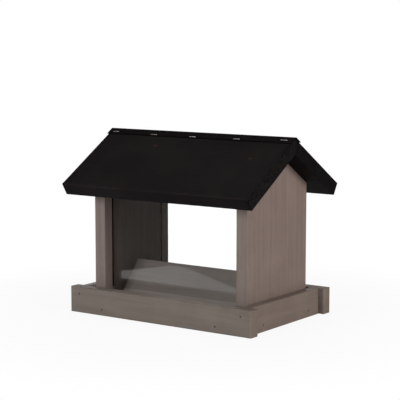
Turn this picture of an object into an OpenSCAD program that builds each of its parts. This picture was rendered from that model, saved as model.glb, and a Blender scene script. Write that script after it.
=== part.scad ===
// Two-sided hopper bird feeder. A stained wooden tray carries two pentagon end
// walls. Two clear panes slide in saw kerfs in the walls, and a seed deflector
// lies between them on the floor. The black roof is two boards mitred at the
// ridge: the back one is nailed down, and the front one is a lid that lifts on a
// flexible strip folded over the ridge and stapled to both.
// X runs along the ridge, Y from front to back, Z up from the table; millimetres.

/* [Hopper body] */
// Length over the outer faces of the two end walls
body_len = 252.6; // [200:0.2:320]
// Width of an end wall from its front edge to its back edge
wall_w = 147; // [130:0.5:175]
// Height of an end wall's peak above the floor board
wall_h = 209; // [180:0.5:250]
// Thickness of an end wall
wall_t = 17.5; // [15:0.5:20]
// Radius of the sanded edges of an end wall
wall_ease = 1; // [0.5:0.1:2]

/* [Tray] */
// Thickness of the floor board
floor_t = 17.5; // [15:0.5:20]
// Thickness of the front and back rails
rail_t = 17; // [14:0.5:20]
// Height of all four rails
rail_h = 36; // [30:0.5:44]
// How far the front and back rails run past the side rails
rail_tail = 9.5; // [5:0.5:15]
// Thickness of the side rails
side_rail_t = 14.2; // [12:0.2:18]
// Open trough between an end wall's edge and the long rail beside it
trough_w = 9.5; // [6:0.5:20]
// Radius of the long sanded edges of the rails
rail_ease = 1.8; // [0.8:0.1:3]
// Radius of the upright corners at the rails' ends
rail_end_ease = 3.2; // [1:0.1:5]

/* [Roof] */
// Slope of both roof boards from level, in degrees
roof_pitch = 31.5; // [28:0.5:36]
// Thickness of the roof boards
roof_t = 18.6; // [15:0.1:20]
// Length of a roof board down its slope, from the ridge to the eave
roof_run = 132; // [122:0.5:150]
// How far the roof runs past each end wall
roof_tail = 26.2; // [15:0.2:40]
// Radius of the sanded edges of the roof boards
roof_ease = 1.4; // [0.6:0.1:2.5]
// Gap between the two mitred ridge faces
ridge_gap = 0.3; // [0.2:0.1:1]

/* [Ridge strip] */
// Whole width of the hinge strip before it is folded
strip_w = 25; // [20:0.5:32]
// Thickness of the hinge strip
strip_t = 1.2; // [0.8:0.1:2]
// How far the strip runs past the roof at each end
strip_tail = 1; // [0:0.1:3]
// Outside width of a staple's crown
staple_crown = 10.6; // [8:0.1:12.7]
// Width of the flat staple wire
staple_wire_w = 1.25; // [0.8:0.05:1.6]
// Thickness of the flat staple wire
staple_wire_t = 0.55; // [0.4:0.05:0.8]
// Length of a staple leg below the crown
staple_leg = 8; // [6:0.5:9]
// Distance from a roof end to the first staple's middle
staple_end_set = 12; // [8:0.5:25]

/* [Panes] */
// Thickness of the clear panes
pane_t = 2.4; // [2:0.1:3.2]
// Free gap on each face of a pane in its kerf
pane_play = 0.3; // [0.2:0.05:0.5]
// Free gap at each end of a pane in its kerf
pane_end_play = 0.6; // [0.3:0.1:1.2]
// Depth of the kerfs in the walls' inner faces
kerf_depth = 6; // [4:0.5:8]
// Distance from a wall's edge to the middle of its kerf
kerf_set = 17.3; // [14:0.1:20]
// Feed gap between the floor and a pane's lower edge
feed_gap = 16; // [12:0.5:20]
// Free height above a pane, under the closed roof
pane_lift = 5.5; // [4:0.5:10]

/* [Deflector] */
// Height of the deflector's ridge above the floor
deflector_h = 46.9; // [36:0.1:50]
// Slope of the deflector boards from level, in degrees
deflector_pitch = 50; // [48:0.5:58]
// Thickness of the deflector boards
deflector_t = 6.5; // [5:0.5:9]
// Gap between the deflector and each end wall
deflector_play = 0.3; // [0.1:0.1:1]

/* [Brads] */
// Diameter of a brad's shank
brad_d = 1.5; // [1.2:0.1:2]
// Diameter of a brad's head
brad_head_d = 2.4; // [2.2:0.1:3]
// Length of a brad
brad_len = 32; // [28:1:36]
// Depth of a set brad's head below the face of the wood
brad_set = 0.6; // [0.3:0.1:1]
// Gap around a brad in the wood
brad_play = 0.02; // [0.01:0.01:0.05]
// Height of the corner brads above the table
corner_brad_z = 26.5; // [22:0.5:28]
// Spacing of the floor brads along a long rail
floor_brad_pitch = 188; // [120:1:196]
// Spacing of the brads along a side rail
side_brad_pitch = 114; // [70:1:120]
// Spacing of the brads that hold an end wall to the floor
wall_brad_pitch = 80; // [50:1:100]
// Distance down the slope from the ridge to the first roof brad
roof_brad_top = 30; // [24:0.5:36]
// Spacing of the roof brads down the slope
roof_brad_pitch = 36; // [24:0.5:40]

/* [Hidden] */
$fn = 32;
floor_w = wall_w + 2 * trough_w;
tray_w = floor_w + 2 * rail_t;
rail_len = body_len + 2 * (side_rail_t + rail_tail);
side_rail_x = body_len / 2 + side_rail_t / 2;
wall_x = body_len / 2 - wall_t / 2;
inside_len = body_len - 2 * wall_t;
peak_z = floor_t + wall_h;
ridge_z = peak_z + roof_t / cos(roof_pitch);
roof_len = body_len + 2 * roof_tail;
strip_len = roof_len + 2 * strip_tail;
strip_half = strip_w / 2;
staple_reach = roof_len / 2 - staple_end_set;
// Hand-driven staples: place along the ridge and down the strip, as shares
lid_staple_at = [[-1, 0.67], [-0.51, 0.86], [-0.04, 0.88], [0.47, 0.84], [0.985, 0.58]];
back_staple_at = [[-0.98, 0.55], [-0.48, 0.62], [0.03, 0.5], [0.52, 0.6], [1, 0.48]];
kerf_y = wall_w / 2 - kerf_set;
kerf_w = pane_t + 2 * pane_play;
pane_z = floor_t + feed_gap;
pane_len = inside_len + 2 * (kerf_depth - pane_end_play);
pane_h = peak_z - (kerf_y + pane_t / 2) * tan(roof_pitch) - pane_lift - pane_z;
deflector_foot = deflector_h / tan(deflector_pitch);
brad_head_h = 0.9;
brad_tip = 2.5;
// Radius of a staple's bends
staple_bend = 0.25;
// Flats that round the strip's fold over the ridge
fold_steps = 8;
// How far a cutter runs past the wood
cut_over = 1;
floor_brad_z = floor_t / 2;

// Sub-part to draw

// Colours as photographed
rail_colour = [0.45, 0.42, 0.39];
wall_colour = [0.49, 0.44, 0.42];
deflector_colour = [0.36, 0.34, 0.33];
roof_colour = [0.1, 0.09, 0.09];
strip_colour = [0.06, 0.055, 0.05];
pane_colour = [0.85, 0.88, 0.88, 0.25];
staple_colour = [0.5, 0.5, 0.49];
brad_colour = [0.3, 0.28, 0.26];

// Shapes that repeat

// Rectangle about the origin with round corners
module soft_rect(w, h, r) {
    square([w - 2 * r, h], center = true);
    square([w, h - 2 * r], center = true);
    for (sx = [-1, 1], sy = [-1, 1])
        translate([sx * (w / 2 - r), sy * (h / 2 - r)])
            circle(r);
}

// Board about the origin: long_r rounds the edges along X, end_r the upright corners
module eased_board(size, long_r, end_r) {
    intersection() {
        rotate([90, 0, 90])
            linear_extrude(size[0], center = true)
                soft_rect(size[1], size[2], long_r);
        linear_extrude(size[2], center = true)
            soft_rect(size[0], size[1], end_r);
        rotate([90, 0, 0])
            linear_extrude(size[1], center = true)
                soft_rect(size[0], size[2], long_r);
    }
}

// One brad, its head's top at the origin and its point down -Z
module brad() {
    rotate_extrude()
        polygon([
            [0, 0],
            [brad_head_d / 2, 0],
            [brad_head_d / 2, -brad_head_h],
            [brad_d / 2, -brad_head_h],
            [brad_d / 2, brad_tip - brad_len],
            [0, -brad_len]
        ]);
}

// The hole that a set brad leaves, from above the face down past its point
module brad_hole() {
    translate([0, 0, -brad_head_h])
        cylinder(d = brad_head_d + 2 * brad_play, h = brad_head_h + brad_set + cut_over);
    translate([0, 0, -brad_len])
        cylinder(d = brad_d + 2 * brad_play, h = brad_len);
}

// One staple, its crown's underside at the origin and its legs down -Z
module staple() {
    rotate([90, 0, 0])
        linear_extrude(staple_wire_w, center = true)
            difference() {
                translate([0, (staple_wire_t - staple_leg) / 2])
                    soft_rect(staple_crown, staple_leg + staple_wire_t, staple_bend);
                translate([0, -staple_leg / 2 - cut_over])
                    square([staple_crown - 2 * staple_wire_t, staple_leg + 2 * cut_over], center = true);
            }
}

// The two slots that a staple's legs cut
module staple_slots() {
    for (s = [-1, 1])
        translate([s * (staple_crown - staple_wire_t) / 2, 0, -staple_leg / 2])
            cube([
                staple_wire_t + 2 * brad_play,
                staple_wire_w + 2 * brad_play,
                staple_leg + 2 * brad_play
            ], center = true);
}

// Places

// Frame of one roof slope: Y runs down it from the ridge, Z out of the board
module on_slope(side) {
    mirror([0, side < 0 ? 1 : 0, 0])
        translate([0, 0, ridge_z])
            rotate([-roof_pitch, 0, 0])
                children();
}

module staple_spots(side) {
    for (at = side < 0 ? lid_staple_at : back_staple_at)
        on_slope(side)
            translate([staple_reach * at[0], strip_half * at[1], strip_t])
                children();
}

module corner_brad_spots(side) {
    mirror([0, side > 0 ? 1 : 0, 0])
        for (s = [-1, 1])
            translate([s * side_rail_x, brad_set - tray_w / 2, corner_brad_z])
                rotate([90, 0, 0])
                    children();
}

module floor_brad_spots(side) {
    mirror([0, side > 0 ? 1 : 0, 0])
        for (s = [-1, 1])
            translate([s * floor_brad_pitch / 2, brad_set - tray_w / 2, floor_brad_z])
                rotate([90, 0, 0])
                    children();
}

module side_brad_spots(side) {
    for (s = [-1, 1])
        translate([
            side * (body_len / 2 + side_rail_t - brad_set),
            s * side_brad_pitch / 2,
            floor_brad_z
        ])
            rotate([0, side * 90, 0])
                children();
}

module wall_brad_spots(side) {
    for (s = [-1, 1])
        translate([side * wall_x, s * wall_brad_pitch / 2, brad_set])
            rotate([180, 0, 0])
                children();
}

module roof_brad_spots() {
    for (s = [-1, 1], i = [0, 1])
        on_slope(1)
            translate([s * wall_x, roof_brad_top + i * roof_brad_pitch, -brad_set])
                children();
}

// Boards, each before its neighbours' fasteners are cut from it

module long_rail(side) {
    difference() {
        translate([0, side * (tray_w - rail_t) / 2, rail_h / 2])
            eased_board([rail_len, rail_t, rail_h], rail_ease, rail_end_ease);
        corner_brad_spots(side)
            brad_hole();
        floor_brad_spots(side)
            brad_hole();
    }
}

module side_rail(side) {
    difference() {
        translate([side * side_rail_x, 0, rail_h / 2])
            cube([side_rail_t, floor_w, rail_h], center = true);
        // Sanded upper edges, outside and inside
        for (edge = [-1, 1])
            translate([side_rail_x * side + edge * side_rail_t / 2, 0, rail_h])
                rotate([90, 0, 0])
                    linear_extrude(floor_w + 2 * cut_over, center = true)
                        difference() {
                            square(2 * rail_ease, center = true);
                            translate([-edge * rail_ease, -rail_ease])
                                circle(rail_ease);
                        }
        for (end = [-1, 1])
            corner_brad_spots(end)
                brad_hole();
        side_brad_spots(side)
            brad_hole();
    }
}

module end_wall(side) {
    shoulder = peak_z - wall_w / 2 * tan(roof_pitch);
    difference() {
        intersection() {
            translate([side * wall_x, 0, 0])
                rotate([90, 0, 90])
                    linear_extrude(wall_t, center = true)
                        polygon([
                            [-wall_w / 2, floor_t],
                            [wall_w / 2, floor_t],
                            [wall_w / 2, shoulder],
                            [0, peak_z],
                            [-wall_w / 2, shoulder]
                        ]);
            translate([side * wall_x, 0, 0])
                linear_extrude(peak_z + cut_over)
                    soft_rect(wall_t, wall_w, wall_ease);
        }
        // Stopped kerfs that carry the two panes
        for (s = [-1, 1])
            translate([
                side * (inside_len / 2 + kerf_depth / 2),
                s * kerf_y,
                pane_z + wall_h / 2
            ])
                cube([kerf_depth, kerf_w, wall_h], center = true);
        wall_brad_spots(side)
            brad_hole();
        roof_brad_spots()
            brad_hole();
    }
}

module deflector_board(side) {
    run = deflector_t / sin(deflector_pitch);
    drop = deflector_t / cos(deflector_pitch);
    mirror([0, side < 0 ? 1 : 0, 0])
        rotate([90, 0, 90])
            linear_extrude(inside_len - 2 * deflector_play, center = true)
                polygon([
                    [0, floor_t + deflector_h],
                    [deflector_foot, floor_t],
                    [deflector_foot - run, floor_t],
                    [0, floor_t + deflector_h - drop]
                ]);
}

module pane(side) {
    translate([-pane_len / 2, side * kerf_y - pane_t / 2, pane_z])
        cube([pane_len, pane_t, pane_h]);
}

module roof_board(side) {
    difference() {
        intersection() {
            on_slope(side)
                translate([0, (roof_run - roof_t) / 2, -roof_t / 2])
                    eased_board([roof_len, roof_run + roof_t, roof_t], roof_ease, roof_ease);
            // Plumb mitre at the ridge
            translate([-roof_len, side > 0 ? ridge_gap / 2 : -2 * roof_run - ridge_gap / 2, 0])
                cube([2 * roof_len, 2 * roof_run, 2 * ridge_z]);
        }
        staple_spots(side)
            staple_slots();
        if (side > 0)
            roof_brad_spots()
                brad_hole();
    }
}

// Sub-parts

module floor_board() {
    color(rail_colour)
        difference() {
            translate([-body_len / 2, -floor_w / 2, 0])
                cube([body_len, floor_w, floor_t]);
            for (s = [-1, 1]) {
                floor_brad_spots(s)
                    brad_hole();
                side_brad_spots(s)
                    brad_hole();
                wall_brad_spots(s)
                    brad_hole();
            }
        }
}

module front_rail() {
    color(rail_colour)
        long_rail(-1);
}

module back_rail() {
    color(rail_colour)
        long_rail(1);
}

module left_side_rail() {
    color(rail_colour)
        side_rail(-1);
}

module right_side_rail() {
    color(rail_colour)
        side_rail(1);
}

module left_end_wall() {
    color(wall_colour)
        end_wall(-1);
}

module right_end_wall() {
    color(wall_colour)
        end_wall(1);
}

module front_deflector_board() {
    color(deflector_colour)
        deflector_board(-1);
}

module back_deflector_board() {
    color(deflector_colour)
        deflector_board(1);
}

module front_pane() {
    color(pane_colour)
        pane(-1);
}

module back_pane() {
    color(pane_colour)
        pane(1);
}

module back_roof_board() {
    color(roof_colour)
        roof_board(1);
}

module roof_lid_board() {
    color(roof_colour)
        roof_board(-1);
}

module hinge_strip() {
    foot = strip_half * [cos(roof_pitch), -sin(roof_pitch)];
    skin = strip_t * [sin(roof_pitch), cos(roof_pitch)];
    bend = [
        for (i = [1 : fold_steps - 1])
            let (lean = (1 - 2 * i / fold_steps) * roof_pitch)
                strip_t * [sin(lean), cos(lean)]
    ];
    color(strip_colour)
        difference() {
            translate([0, 0, ridge_z])
                rotate([90, 0, 90])
                    linear_extrude(strip_len, center = true)
                        polygon(concat(
                            [[0, 0], foot, foot + skin, skin],
                            bend,
                            [
                                [-skin[0], skin[1]],
                                [-foot[0] - skin[0], foot[1] + skin[1]],
                                [-foot[0], foot[1]]
                            ]
                        ));
            for (side = [-1, 1])
                staple_spots(side)
                    staple_slots();
        }
}

module lid_staples() {
    color(staple_colour)
        staple_spots(-1)
            staple();
}

module back_roof_staples() {
    color(staple_colour)
        staple_spots(1)
            staple();
}

module front_corner_brads() {
    color(brad_colour)
        corner_brad_spots(-1)
            brad();
}

module front_floor_brads() {
    color(brad_colour)
        floor_brad_spots(-1)
            brad();
}

module back_corner_brads() {
    color(brad_colour)
        corner_brad_spots(1)
            brad();
}

module back_floor_brads() {
    color(brad_colour)
        floor_brad_spots(1)
            brad();
}

module left_side_brads() {
    color(brad_colour)
        side_brad_spots(-1)
            brad();
}

module right_side_brads() {
    color(brad_colour)
        side_brad_spots(1)
            brad();
}

module left_wall_brads() {
    color(brad_colour)
        wall_brad_spots(-1)
            brad();
}

module right_wall_brads() {
    color(brad_colour)
        wall_brad_spots(1)
            brad();
}

module back_roof_brads() {
    color(brad_colour)
        roof_brad_spots()
            brad();
}

floor_board();
front_rail();
back_rail();
left_side_rail();
right_side_rail();
left_end_wall();
right_end_wall();
front_deflector_board();
back_deflector_board();
front_pane();
back_pane();
back_roof_board();
roof_lid_board();
hinge_strip();
lid_staples();
back_roof_staples();
front_corner_brads();
front_floor_brads();
back_corner_brads();
back_floor_brads();
left_side_brads();
right_side_brads();
left_wall_brads();
right_wall_brads();
back_roof_brads();
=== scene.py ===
import math
import random

import bmesh
import bpy
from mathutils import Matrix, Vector


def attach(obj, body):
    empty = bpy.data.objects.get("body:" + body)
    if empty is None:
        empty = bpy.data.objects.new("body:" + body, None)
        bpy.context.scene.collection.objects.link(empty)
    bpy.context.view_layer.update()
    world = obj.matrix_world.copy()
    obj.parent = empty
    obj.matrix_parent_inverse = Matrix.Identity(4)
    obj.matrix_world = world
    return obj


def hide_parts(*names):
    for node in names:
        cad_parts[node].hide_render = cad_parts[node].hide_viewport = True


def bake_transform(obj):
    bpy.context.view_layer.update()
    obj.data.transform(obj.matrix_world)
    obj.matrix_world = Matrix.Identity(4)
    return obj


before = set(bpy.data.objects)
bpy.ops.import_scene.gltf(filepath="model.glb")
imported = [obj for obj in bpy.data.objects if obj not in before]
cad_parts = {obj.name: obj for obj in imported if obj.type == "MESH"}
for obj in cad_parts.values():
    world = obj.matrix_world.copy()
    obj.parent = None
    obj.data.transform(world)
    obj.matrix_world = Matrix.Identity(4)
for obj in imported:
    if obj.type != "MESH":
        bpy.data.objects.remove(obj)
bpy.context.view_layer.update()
mm = 0.001
print("frame loaded:", len(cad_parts), "nodes")

scene = bpy.context.scene
scene.view_settings.view_transform = "Standard"


# shader maths

class Wire:
    # one socket; plain expressions on it add Math nodes
    def __init__(self, finish, socket):
        self.finish, self.socket = finish, socket

    def maths(self, operation, *values):
        return self.finish.node("ShaderNodeMath", {"operation": operation}, dict(enumerate(values)))

    def __add__(self, other):
        return self.maths("ADD", self, other)

    def __radd__(self, other):
        return self.maths("ADD", other, self)

    def __sub__(self, other):
        return self.maths("SUBTRACT", self, other)

    def __rsub__(self, other):
        return self.maths("SUBTRACT", other, self)

    def __mul__(self, other):
        return self.maths("MULTIPLY", self, other)

    def __rmul__(self, other):
        return self.maths("MULTIPLY", other, self)

    def __abs__(self):
        return self.maths("ABSOLUTE", self)

    def rise(self, low, high):  # smooth step from low to high
        return self.finish.node("ShaderNodeMapRange", {"interpolation_type": "SMOOTHSTEP"},
                                {"Value": self, "From Min": low, "From Max": high})

    def part(self, name):  # another output of the same node
        return Wire(self.finish, self.socket.node.outputs[name])


class Finish:
    # one material, and the single way that its nodes are added
    def __init__(self, name):
        self.material = bpy.data.materials.new(name)
        self.material.use_nodes = True
        self.tree = self.material.node_tree
        self.tree.nodes.clear()
        self.out = self.tree.nodes.new("ShaderNodeOutputMaterial")

    def node(self, kind, settings=None, inputs=None, output=0):
        made = self.tree.nodes.new(kind)
        for key, value in (settings or {}).items():
            setattr(made, key, value)
        for key, value in (inputs or {}).items():
            socket = made.inputs[key]
            if isinstance(value, Wire):
                self.tree.links.new(value.socket, socket)
            elif isinstance(value, (tuple, list)) and socket.type == "RGBA" and len(value) == 3:
                socket.default_value = (*value, 1)
            else:
                socket.default_value = value
        return Wire(self, made.outputs[output])

    def coords(self):
        return self.node("ShaderNodeTexCoord", output="Object")

    def place(self, scale=(1, 1, 1), shift=(0, 0, 0)):
        return self.node("ShaderNodeMapping", {},
                         {"Vector": self.coords(), "Scale": scale, "Location": shift})

    def axes(self):
        split = self.node("ShaderNodeSeparateXYZ", {}, {"Vector": self.coords()})
        return split, split.part("Y"), split.part("Z")

    def noise(self, scale=(1, 1, 1), shift=(0, 0, 0), detail=4, rough=0.55, twist=0.0):
        return self.node("ShaderNodeTexNoise", {}, {
            "Vector": self.place(scale, shift), "Scale": 1.0, "Detail": detail,
            "Roughness": rough, "Distortion": twist})

    def mix(self, amount, a, b):
        return self.node("ShaderNodeMix", {"data_type": "RGBA"}, {"Factor": amount, 6: a, 7: b}, output=2)

    def bump(self, height, strength, depth):
        return self.node("ShaderNodeBump", {}, {"Height": height, "Strength": strength, "Distance": depth})

    def wear(self, shader):  # ends the material with this shader
        self.tree.links.new(shader.socket, self.out.inputs["Surface"])
        return self.material

    def surface(self, **inputs):
        named = {key.replace("_", " "): value for key, value in inputs.items()}
        return self.wear(self.node("ShaderNodeBsdfPrincipled", {}, named))


def tone(r, g, b):  # photo-like 0 to 255 colour to linear
    def one(v):
        v /= 255
        return v / 12.92 if v <= 0.04045 else ((v + 0.055) / 1.055) ** 2.4
    return (one(r), one(g), one(b))


# stained boards

stainSettings = {
    "rail": {"grain": "x", "seed": 3.1,
             "colour": (119, 109, 101), "dark": (97, 86, 78), "pale": (131, 121, 111)},
    "side": {"grain": "y", "seed": 9.7,
             "colour": (124, 112, 105), "dark": (100, 88, 81), "pale": (134, 123, 114)},
    "wall": {"grain": "z", "seed": 5.3,
             "colour": (128, 114, 108), "dark": (103, 86, 80), "pale": (139, 126, 119),
             # the kerf colour is painted shade, standing in for the deep shadow inside the saw kerfs
             "kerfs": {"y": 56.2 * mm, "half": 1.9 * mm, "from": 108.9 * mm, "to": 115.5 * mm,
                       "colour": (18, 14, 13)}},
    "deflector": {"grain": "x", "seed": 7.9,
                  "colour": (142, 131, 126), "dark": (116, 106, 101), "pale": (152, 142, 136)},
    "fibre": {"across": 1500, "along": 26}, "band": {"across": 150, "along": 7},
    "pores": {"across": 2600, "along": 90},
    "roughness": 0.62, "gloss": 0.2,
}


# painted shade: mask of the saw kerfs in the end walls, where the wall is drawn near black as deep shadow
def paintedKerfShadeMask(finish, kerfs):
    x, y, _ = finish.axes()
    x, y = abs(x), abs(y)
    inside = x.maths("GREATER_THAN", x, kerfs["from"]) * x.maths("LESS_THAN", x, kerfs["to"])
    return inside * y.maths("COMPARE", y, kerfs["y"], kerfs["half"])


def stainedWood(name, key):
    kit = stainSettings[key]
    along = "xyz".index(kit["grain"])
    finish = Finish(name)

    shift = (kit["seed"], kit["seed"] * 1.7, kit["seed"] * 0.6)

    def streaks(pattern, **how):  # noise stretched along the grain
        size = stainSettings[pattern]
        scale = tuple(size["along"] if i == along else size["across"] for i in range(3))
        return finish.noise(scale, shift, **how)

    fibre = streaks("fibre", detail=5, rough=0.6)
    band = streaks("band", detail=4, rough=0.5, twist=0.6)
    cloud = finish.noise((24, 24, 24), shift, detail=3)
    pores = streaks("pores", detail=2, rough=0.4).rise(0.62, 0.75)
    base = finish.mix(band.rise(0.36, 0.66) * 0.32, tone(*kit["colour"]), tone(*kit["dark"]))
    base = finish.mix(cloud.rise(0.42, 0.72) * 0.4, base, tone(*kit["pale"]))
    base = finish.mix(fibre.rise(0.35, 0.8) * 0.25, base, tone(*kit["pale"]))
    base = finish.mix(pores * 0.16, base, tone(*[v * 0.72 for v in kit["dark"]]))
    if "kerfs" in kit:  # painted shade: the saw kerfs are drawn near black to stand in for their deep shadow
        base = finish.mix(paintedKerfShadeMask(finish, kit["kerfs"]), base, tone(*kit["kerfs"]["colour"]))
    rough = stainSettings["roughness"] + (fibre - 0.5) * 0.25 + pores * 0.1
    normal = finish.bump(fibre * 0.6 + band * 0.4 - pores * 0.5, 0.28, 0.0005)
    return finish.surface(Base_Color=base, Roughness=rough, Normal=normal,
                          Specular_IOR_Level=stainSettings["gloss"])


# black roof paint over wood

roofSettings = {
    "lid": {"colour": (22, 19, 19), "dusty": (33, 29, 29)},
    "back": {"colour": (12, 10, 10), "dusty": (17, 15, 15)},
    "pitch": 31.5, "ridge": 248.3146 * mm, "run": 132 * mm, "end": 152.5 * mm, "arris": 2.2 * mm,
    # wear colour for paint flecks, also drawn on the eave arris as a painted highlight
    "wearAndHighlight": (47, 38, 34), "knot": (52, 37, 29), "torn": (5, 4, 4), "tornReach": 11 * mm,
    "roughness": 0.6, "gloss": 0.05,
    "knots": [(-0.0542, -0.0291, 0.2305, 0.0035), (0.1092, -0.042, 0.2226, 0.003)],  # x, y, z, radius
}


def roofPaint(name, key):
    kit = roofSettings[key]
    finish = Finish(name)
    fibre = finish.noise((18, 1100, 1100), shift=(2.2, 0.4, 1.3), detail=5, rough=0.6)
    band = finish.noise((5, 120, 120), shift=(4.1, 2.0, 0.7), detail=4, twist=0.5)
    cloud = finish.noise((14, 14, 14), shift=(1.1, 5.2, 3.3), detail=3)
    fleck = finish.noise((420, 420, 420), detail=2).rise(0.66, 0.74)
    base = finish.mix(cloud.rise(0.4, 0.75) * 0.6, tone(*kit["colour"]), tone(*kit["dusty"]))
    base = finish.mix(band.rise(0.5, 0.72) * 0.3, base, tone(*kit["dusty"]))
    base = finish.mix(fleck * 0.25, base, tone(*roofSettings["wearAndHighlight"]))
    coords = finish.coords()
    for x, y, z, radius in roofSettings["knots"]:  # small knots that show through the paint
        away = finish.node("ShaderNodeVectorMath", {"operation": "DISTANCE"},
                           {0: coords, 1: (x, y, z)}, output="Value")
        spot = 1 - away.rise(radius * 0.3, radius * 1.2)
        base = finish.mix(spot * 0.9, base, tone(*roofSettings["knot"]))
    x, y, z = finish.axes()
    pitch = math.radians(roofSettings["pitch"])
    y, sunk = abs(y), roofSettings["ridge"] - z
    down = y * math.cos(pitch) + sunk * math.sin(pitch)
    out = y * math.sin(pitch) - sunk * math.cos(pitch)
    arris = roofSettings["arris"]
    # painted highlight and wear: the eave's top arris is drawn lighter, partly rubbed paint, partly the
    # edge's highlight
    eaveWearAndHighlight = down.rise(roofSettings["run"] - arris, roofSettings["run"]) * out.rise(-arris, 0)  # rubbed paint along the eave arris, drawn lighter as a painted highlight too
    base = finish.mix(eaveWearAndHighlight * fibre.rise(0.3, 0.6) * 0.75, base, tone(*roofSettings["wearAndHighlight"]))
    end = abs(x).rise(roofSettings["end"] - roofSettings["tornReach"], roofSettings["end"])
    torn = finish.noise((330, 240, 240), detail=4, rough=0.7)  # fibres torn by the saw near the ends
    base = finish.mix(end * torn.rise(0.48, 0.58) * 0.9, base, tone(*roofSettings["torn"]))
    rough = roofSettings["roughness"] + (cloud - 0.5) * 0.2 + (fibre - 0.5) * 0.18
    normal = finish.bump(fibre * 0.5 + band * 0.5 + end * torn * 1.5, 0.45, 0.0006)
    return finish.surface(Base_Color=base, Roughness=rough, Normal=normal,
                          Specular_IOR_Level=roofSettings["gloss"])


# hinge strip rubber, staple wire, brad heads, clear panes

rubberSettings = {"colour": (9, 7, 6), "dusty": (17, 14, 12), "roughness": 0.62, "gloss": 0.05}


def stripRubber(name):
    finish = Finish(name)
    weave = finish.node("ShaderNodeTexWave", {"wave_type": "BANDS", "bands_direction": "X"},
                        {"Vector": finish.place(), "Scale": 260.0, "Distortion": 0.6, "Detail": 1.0},
                        output=1)
    dust = finish.noise((60, 220, 220), detail=4)
    base = finish.mix(dust.rise(0.45, 0.75) * 0.6,
                      tone(*rubberSettings["colour"]), tone(*rubberSettings["dusty"]))
    normal = finish.bump(weave * 0.5 + dust * 0.5, 0.2, 0.0003)
    rough = rubberSettings["roughness"] + (dust - 0.5) * 0.3
    return finish.surface(Base_Color=base, Roughness=rough, Normal=normal,
                          Specular_IOR_Level=rubberSettings["gloss"])


def wireSteel(name, bright, dull, roughness):
    finish = Finish(name)
    tarnish = finish.noise((700, 700, 700), detail=3).rise(0.35, 0.7)
    scratch = finish.noise((300, 4000, 4000), detail=2)
    base = finish.mix(tarnish, tone(*bright), tone(*dull))
    rough = roughness + tarnish * 0.2 + (scratch - 0.5) * 0.15
    return finish.surface(Base_Color=base, Metallic=1 - tarnish * 0.35, Roughness=rough,
                          Normal=finish.bump(scratch, 0.15, 0.0002))


paneSettings = {"index": 1.49, "tint": (0.925, 0.93, 0.922), "polish": 0.02}


def clearPane(name):
    finish = Finish(name)
    smear = finish.noise((18, 18, 40), detail=3).rise(0.4, 0.8)
    gloss = finish.node("ShaderNodeFresnel", {}, {"IOR": paneSettings["index"]})
    through = finish.node("ShaderNodeBsdfTransparent", {}, {"Color": paneSettings["tint"]})
    mirror = finish.node("ShaderNodeBsdfPrincipled", {}, {
        "Base Color": (0.96, 0.96, 0.96), "Metallic": 1.0,
        "Roughness": paneSettings["polish"] + smear * 0.025})
    return finish.wear(finish.node("ShaderNodeMixShader", {}, {0: gloss, 1: through, 2: mirror}))


railStain = stainedWood("railStain", "rail")
sideStain = stainedWood("sideRailStain", "side")
wallStain = stainedWood("wallStain", "wall")
deflectorStain = stainedWood("deflectorStain", "deflector")
blackLid = roofPaint("blackLidPaint", "lid")
blackRoof = roofPaint("blackRoofPaint", "back")
blackStrip = stripRubber("stripRubber")
stapleZinc = wireSteel("stapleZinc", (205, 202, 198), (150, 146, 142), 0.35)
bradSteel = wireSteel("bradSteel", (82, 76, 70), (48, 43, 39), 0.5)
clearAcrylic = clearPane("clearAcrylic")

nodeFinish = {
    railStain: ["front_rail", "back_rail", "floor_board"],
    sideStain: ["left_side_rail", "right_side_rail"],
    wallStain: ["left_end_wall", "right_end_wall"],
    deflectorStain: ["front_deflector_board", "back_deflector_board"],
    blackRoof: ["back_roof_board"],
    blackLid: ["roof_lid_board"],
    clearAcrylic: ["front_pane", "back_pane"],
    bradSteel: [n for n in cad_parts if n.endswith("_brads")],
}
for finish, nodes in nodeFinish.items():
    for name in nodes:
        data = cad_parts[name].data
        data.materials.clear()
        data.materials.append(finish)
print("finishes set on", sum(len(n) for n in nodeFinish.values()), "CAD nodes")


# ridge geometry shared by the strip and the staples

ridge = {"z": roofSettings["ridge"], "pitch": math.radians(roofSettings["pitch"])}


def onSlope(side, x, down, out):  # side -1 is the lid, 1 the fixed board
    c, s = math.cos(ridge["pitch"]), math.sin(ridge["pitch"])
    return Vector((x, side * (down * c + out * s), ridge["z"] - down * s + out * c))


def newPiece(name, mesh, finish):
    piece = bpy.data.objects.new(name, mesh)
    scene.collection.objects.link(piece)
    piece.data.materials.clear()
    piece.data.materials.append(finish)
    return piece


# hinge strip, one flexible band folded over the ridge

stripSettings = {"length": 307 * mm, "half": 12.5 * mm, "thick": 1.2 * mm, "bend": 1.6 * mm,
                 "alongSteps": 150, "flapSteps": 12, "bendSteps": 10, "wander": 0.22 * mm, "seed": 11}


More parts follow.
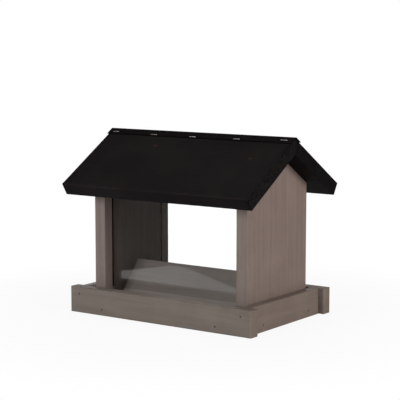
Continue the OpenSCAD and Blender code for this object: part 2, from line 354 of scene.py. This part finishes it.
def hingeStrip():
    kit = stripSettings
    rng = random.Random(kit["seed"])
    waves = [(rng.uniform(18, 90), rng.uniform(0, 6.3), rng.uniform(0.3, 1)) for _ in range(6)]

    def wander(x, phase):
        return kit["wander"] * sum(a * math.sin(k * x + p + phase) for k, p, a in waves) / 3

    flap = (kit["half"] - kit["bend"]) / kit["flapSteps"]
    downs = [-kit["half"] + flap * i for i in range(kit["flapSteps"] + 1)]
    turns = [kit["bend"] * (2 * i / kit["bendSteps"] - 1) for i in range(1, kit["bendSteps"])]
    across = downs + turns + [-d for d in reversed(downs)]
    mesh = bpy.data.meshes.new("hinge_strip_band")
    bm = bmesh.new()
    rows = []
    for i in range(kit["alongSteps"] + 1):
        x = kit["length"] * (i / kit["alongSteps"] - 0.5)
        ring = []
        for layer in (1, 0):  # upper skin, then lower skin back again
            points = across if layer else list(reversed(across))
            for d in points:
                side = -1 if d < 0 else 1
                reach = abs(d)
                edge = max(0.0, (reach - 0.75 * kit["half"]) / (0.25 * kit["half"]))
                down = reach + edge * wander(x, side)
                lean = ridge["pitch"] * max(-1, min(1, d / kit["bend"]))
                if reach < kit["bend"] and layer:  # round over the ridge
                    here = Vector((x, d * 0.45, ridge["z"]))
                    here += Vector((0, math.sin(lean), math.cos(lean))) * kit["thick"]
                    here.z -= abs(d) * 0.45 * math.tan(ridge["pitch"]) * abs(d) / kit["bend"]
                else:
                    lift = 0.06 * mm * edge * (1 + math.sin(31 * x + side))
                    skin = kit["thick"] * (1 - 0.25 * max(0, edge - 0.85) / 0.15) if layer else 0
                    here = onSlope(side, x, down, skin + lift + 0.02 * mm)
                ring.append(bm.verts.new(here))
        rows.append(ring)
    count = len(rows[0])
    for a, b in zip(rows, rows[1:]):
        for j in range(count):
            k = (j + 1) % count
            bm.faces.new((a[j], b[j], b[k], a[k]))
    bm.faces.new(rows[0])
    bm.faces.new(list(reversed(rows[-1])))
    bmesh.ops.recalc_face_normals(bm, faces=bm.faces)
    bm.to_mesh(mesh)
    bm.free()
    mesh.shade_smooth()
    mesh.set_sharp_from_angle(angle=math.radians(40))
    return newPiece("ridge_hinge_strip", mesh, blackStrip)


strip = hingeStrip()
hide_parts("hinge_strip")
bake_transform(strip)
print("strip folded:", len(strip.data.polygons), "faces")


# staples, instanced along the strip

stapleSettings = {
    "crown": 10.6 * mm, "leg": 8 * mm, "wireWidth": 1.25 * mm, "wireThick": 0.55 * mm,
    "bendRadius": 0.5 * mm, "bendSteps": 3,
    "strip": 1.2 * mm, "reach": 140.5 * mm, "half": 12.5 * mm, "seed": 4, "jitter": math.radians(2.5),
    "lid": [(-1, 0.67), (-0.51, 0.86), (-0.04, 0.88), (0.47, 0.84), (0.985, 0.58)],
    "back": [(-0.98, 0.55), (-0.48, 0.62), (0.03, 0.5), (0.52, 0.6), (1, 0.48)],
}


def stapleWire():  # one staple, crown on XY, legs down
    kit = stapleSettings
    bm = bmesh.new()
    half, r = (kit["crown"] - kit["wireThick"]) / 2, kit["bendRadius"]
    path = [(-half, -kit["leg"], 0.0)]
    for step in range(kit["bendSteps"] + 1):
        a = math.pi / 2 * step / kit["bendSteps"]
        path.append((-half + r - r * math.cos(a), kit["wireThick"] / 2 - r + r * math.sin(a), a))
    path += [(-x, z, math.pi - a) for x, z, a in reversed(path)]
    rings = []
    for x, z, a in path:
        out = Vector((-math.cos(a), 0, math.sin(a)))  # away from the staple's middle
        side = Vector((0, 1, 0))
        t, w = kit["wireThick"] / 2, kit["wireWidth"] / 2
        ring = []
        for u, v in ((1, 0.6), (0.6, 1), (-0.6, 1), (-1, 0.6), (-1, -0.6), (-0.6, -1), (0.6, -1), (1, -0.6)):
            ring.append(bm.verts.new(Vector((x, 0, z)) + out * (t * v) + side * (w * u)))
        rings.append(ring)
    for a, b in zip(rings, rings[1:]):
        for j in range(8):
            bm.faces.new((a[j], a[(j + 1) % 8], b[(j + 1) % 8], b[j]))
    bm.faces.new(rings[0])
    bm.faces.new(list(reversed(rings[-1])))
    bmesh.ops.recalc_face_normals(bm, faces=bm.faces)
    mesh = bpy.data.meshes.new("staple_wire")
    bm.to_mesh(mesh)
    bm.free()
    source = bpy.data.objects.new("staple_wire", mesh)
    scene.collection.objects.link(source)
    return source


def stapleTree(source):
    tree = bpy.data.node_groups.new("stapleRow", "GeometryNodeTree")
    tree.is_modifier = True
    face = tree.interface
    face.new_socket("Geometry", in_out="INPUT", socket_type="NodeSocketGeometry")
    face.new_socket("Lean", in_out="INPUT", socket_type="NodeSocketFloat")
    face.new_socket("Jitter", in_out="INPUT", socket_type="NodeSocketFloat")
    face.new_socket("Seed", in_out="INPUT", socket_type="NodeSocketInt")
    face.new_socket("Geometry", in_out="OUTPUT", socket_type="NodeSocketGeometry")
    add, link = tree.nodes.new, tree.links.new
    given, done = add("NodeGroupInput"), add("NodeGroupOutput")
    wire = add("GeometryNodeObjectInfo")
    wire.inputs["Object"].default_value = source
    spin = add("FunctionNodeRandomValue")
    spin.data_type = "FLOAT"
    low = add("ShaderNodeMath")
    low.operation = "MULTIPLY"
    low.inputs[1].default_value = -1
    link(given.outputs["Jitter"], low.inputs[0])
    link(low.outputs[0], spin.inputs[2])
    link(given.outputs["Jitter"], spin.inputs[3])
    link(given.outputs["Seed"], spin.inputs["Seed"])
    yaw, pitch = add("ShaderNodeCombineXYZ"), add("ShaderNodeCombineXYZ")
    link(spin.outputs[1], yaw.inputs["Z"])
    link(given.outputs["Lean"], pitch.inputs["X"])
    turn = add("FunctionNodeRotateEuler")
    turn.rotation_type = "EULER"
    turn.space = "OBJECT"
    link(yaw.outputs[0], turn.inputs["Rotation"])
    link(pitch.outputs[0], turn.inputs["Rotate By"])
    put = add("GeometryNodeInstanceOnPoints")
    link(given.outputs["Geometry"], put.inputs["Points"])
    link(wire.outputs["Geometry"], put.inputs["Instance"])
    link(turn.outputs[0], put.inputs["Rotation"])
    real = add("GeometryNodeRealizeInstances")
    dress = add("GeometryNodeSetMaterial")
    dress.inputs["Material"].default_value = stapleZinc
    link(put.outputs[0], real.inputs[0])
    link(real.outputs[0], dress.inputs["Geometry"])
    link(dress.outputs[0], done.inputs[0])
    return tree


def stapleRow(name, side, spots, tree):
    kit = stapleSettings
    mesh = bpy.data.meshes.new(name + "_spots")
    top = kit["strip"] + 0.05 * mm
    mesh.from_pydata([onSlope(side, kit["reach"] * u, kit["half"] * v, top) for u, v in spots], [], [])
    row = bpy.data.objects.new(name + "_spots", mesh)
    scene.collection.objects.link(row)
    modifier = row.modifiers.new("row", "NODES")
    modifier.node_group = tree
    names = {item.name: item.identifier for item in tree.interface.items_tree if item.in_out == "INPUT"}
    modifier[names["Lean"]] = -side * ridge["pitch"]
    modifier[names["Jitter"]] = kit["jitter"]
    modifier[names["Seed"]] = kit["seed"] + side
    bpy.context.view_layer.update()
    ready = row.evaluated_get(bpy.context.evaluated_depsgraph_get())
    made = bpy.data.meshes.new_from_object(ready)
    made.name = name
    row.modifiers.remove(modifier)
    bpy.data.objects.remove(row)
    bpy.data.meshes.remove(mesh)
    made.shade_smooth()
    made.set_sharp_from_angle(angle=math.radians(35))
    piece = newPiece(name, made, stapleZinc)
    return piece


stapleSource = stapleWire()
stapleNodes = stapleTree(stapleSource)
lidStaples = stapleRow("lid_staple_row", -1, stapleSettings["lid"], stapleNodes)
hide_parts("lid_staples")
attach(lidStaples, "lid")
backStaples = stapleRow("back_staple_row", 1, stapleSettings["back"], stapleNodes)
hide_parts("back_roof_staples")
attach(backStaples, "feeder")
bpy.data.objects.remove(stapleSource)
print("staples driven:", len(lidStaples.data.polygons) + len(backStaples.data.polygons), "faces")


# stage: pale floor, dark card for the panes, lamps, camera

stageSettings = {
    "floorHalf": 6.0, "shadowFade": (0.2, 0.5), "floorColour": (0.86, 0.86, 0.86), "cameraLift": 0.91,
    "card": [(-0.9, -0.24), (-0.29, -0.28), (-0.25, -0.375), (-0.22, -0.38), (-0.05, -0.275),
             (0.2, -0.13), (0.2, -1.9), (-2.6, -1.9), (-2.6, -0.24)],
    "world": 0.08, "throughPanes": 2.0, "inGloss": 0.5,
}


def floorFinish():
    finish = Finish("paleFloor")
    path = finish.node("ShaderNodeLightPath", output="Is Camera Ray")
    seen = path.maths("MAXIMUM", path, path.part("Is Glossy Ray"))
    seen = seen.maths("MAXIMUM", seen, path.part("Is Transmission Ray"))
    matt = finish.node("ShaderNodeBsdfDiffuse", {}, {"Color": stageSettings["floorColour"]})
    depth = path.part("Transparent Depth")
    behind = path.maths("MINIMUM", depth, 1) * path  # held white where the panes dim it
    bright = finish.node("ShaderNodeEmission", {}, {
        "Color": (1, 1, 1),
        "Strength": 1 + behind * (stageSettings["throughPanes"] - 1)
        - path.part("Is Glossy Ray") * (1 - stageSettings["inGloss"])})
    away = finish.node("ShaderNodeVectorMath", {"operation": "LENGTH"}, {0: finish.coords()}, output="Value")
    far = away.rise(*stageSettings["shadowFade"])  # plain white past the object's own shadow
    lift = stageSettings["cameraLift"] + far * (1 - stageSettings["cameraLift"])
    return finish.wear(finish.node("ShaderNodeMixShader", {}, {0: seen * lift, 1: matt, 2: bright}))


def flat(name, corners, z, finish):
    mesh = bpy.data.meshes.new(name)
    mesh.from_pydata([(x, y, z) for x, y in corners], [], [tuple(range(len(corners)))])
    piece = newPiece(name, mesh, finish)
    return piece


h = stageSettings["floorHalf"]
flat("stage_floor", [(-h, -h), (h, -h), (h, h), (-h, h)], -0.0002, floorFinish())

cardFinish = Finish("dimCard").surface(Base_Color=(0.02, 0.02, 0.018), Roughness=0.9)
card = flat("stage_card", stageSettings["card"], 0.002, cardFinish)
card.visible_camera = card.visible_diffuse = card.visible_transmission = card.visible_shadow = False

world = bpy.data.worlds.new("studio")
scene.world = world
world.use_nodes = True
nodes, links = world.node_tree.nodes, world.node_tree.links
nodes.clear()
worldOut = nodes.new("ShaderNodeOutputWorld")
fill, backdrop, pick, path = (nodes.new("ShaderNodeBackground"), nodes.new("ShaderNodeBackground"),
                              nodes.new("ShaderNodeMixShader"), nodes.new("ShaderNodeLightPath"))
fill.inputs["Color"].default_value = (1, 0.985, 0.96, 1)
fill.inputs["Strength"].default_value = stageSettings["world"]
backdrop.inputs["Color"].default_value = (1, 1, 1, 1)
behindPanes = nodes.new("ShaderNodeMapRange")  # brighter where the panes dim it, so it stays white
behindPanes.inputs["To Min"].default_value = 1
behindPanes.inputs["To Max"].default_value = stageSettings["throughPanes"]
links.new(path.outputs["Transparent Depth"], behindPanes.inputs["Value"])
links.new(behindPanes.outputs[0], backdrop.inputs["Strength"])
either = nodes.new("ShaderNodeMath")
either.operation = "MAXIMUM"
links.new(path.outputs["Is Camera Ray"], either.inputs[0])
links.new(path.outputs["Is Transmission Ray"], either.inputs[1])
links.new(either.outputs[0], pick.inputs[0])
links.new(fill.outputs[0], pick.inputs[1])
links.new(backdrop.outputs[0], pick.inputs[2])
links.new(pick.outputs[0], worldOut.inputs["Surface"])

lampSettings = [  # name, place, aim, size, watts, colour
    ("frontSoftbox", (-0.25, -2.2, 0.85), (0, 0, 0.12), 1.2, 32, (0.952, 0.978, 1)),
    ("rightSoftbox", (2.2, -0.1, 0.8), (0, 0, 0.12), 0.95, 30, (1, 0.93, 0.9)),
    ("topSoftbox", (-0.2, 0.1, 2.3), (0, 0, 0.1), 1.4, 10, (1, 0.98, 0.96)),
    ("backSoftbox", (-1.5, 2.0, 1.1), (0, 0, 0.12), 1.3, 14, (1, 1, 1)),
]
for name, place, aim, size, watts, colour in lampSettings:
    lamp = bpy.data.lights.new(name, "AREA")
    lamp.color = colour
    lamp.shape, lamp.size, lamp.energy = "DISK", size, watts
    holder = bpy.data.objects.new(name, lamp)
    holder.location = place
    holder.rotation_euler = (Vector(aim) - Vector(place)).to_track_quat("-Z", "Y").to_euler()
    scene.collection.objects.link(holder)

cameraSettings = {
    "place": (1.0695, -1.5134, 0.3875), "aim": (0, 0, 0.1564),
    "focalPixels": 1359, "imagePixels": 400,
}
lens = bpy.data.cameras.new("camera")
lens.sensor_fit, lens.sensor_width = "HORIZONTAL", 36
lens.lens = cameraSettings["focalPixels"] / cameraSettings["imagePixels"] * lens.sensor_width
lens.clip_start, lens.clip_end = 0.05, 60
camera = bpy.data.objects.new("camera", lens)
camera.location = cameraSettings["place"]
sight = Vector(cameraSettings["aim"]) - Vector(cameraSettings["place"])
camera.rotation_euler = sight.to_track_quat("-Z", "Y").to_euler()
scene.collection.objects.link(camera)
scene.camera = camera
print("stage, lamps and camera set")
